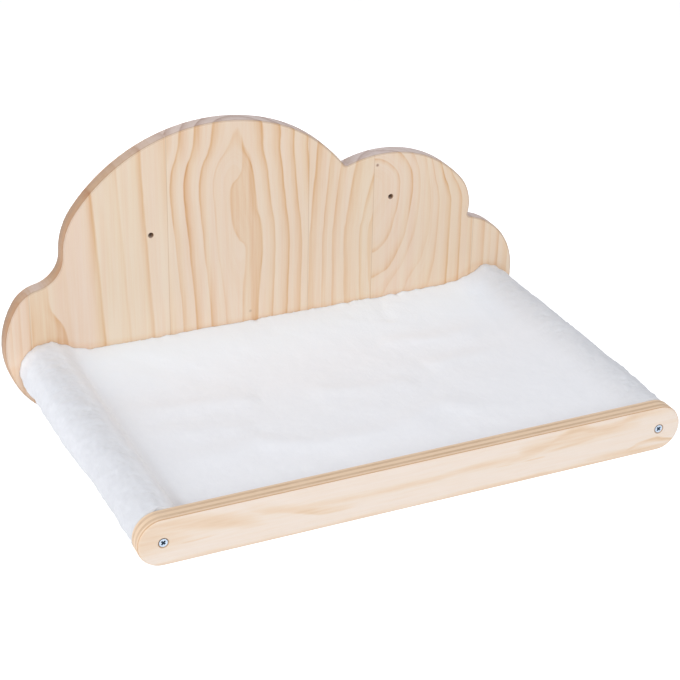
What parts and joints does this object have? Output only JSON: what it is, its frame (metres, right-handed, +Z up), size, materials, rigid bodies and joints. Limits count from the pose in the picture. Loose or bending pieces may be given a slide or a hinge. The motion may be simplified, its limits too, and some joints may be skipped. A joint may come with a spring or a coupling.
{
  "type": "wall-mounted cat bed",
  "caption": "Cat bed for a wall: a cloud-shaped pine board carries dowels and a front rail, with a white plush cover stretched between them to lie on.",
  "frame": {"origin": "on the board's back face, where it lies on the wall, midway between the dowels and at the height of their axes", "axes": "+Y into the wall, +Z up, +X to the right as seen from the room"},
  "size_m": [0.502, 0.31, 0.2626],
  "materials": {
    "pine": "sanded bare pine, edge-glued staves with upright grain",
    "plywood": "sanded pine-faced plywood, plies showing on the edge",
    "dowel_wood": "turned, bare",
    "zinc_steel": "bright blue-white zinc plate",
    "canvas": "undyed plain-weave cotton",
    "plush": "white short-pile plush"
  },
  "bodies": {
    "root": {"cloud_backboard": "pine", "front_rail": "plywood", "left_dowel": "dowel_wood", "right_dowel": "dowel_wood", "left_front_screw": "zinc_steel", "right_front_screw": "zinc_steel", "left_rear_screw": "zinc_steel", "right_rear_screw": "zinc_steel", "sling_canvas": "canvas", "plush_cover": "plush"}
  },
  "joints": []
}
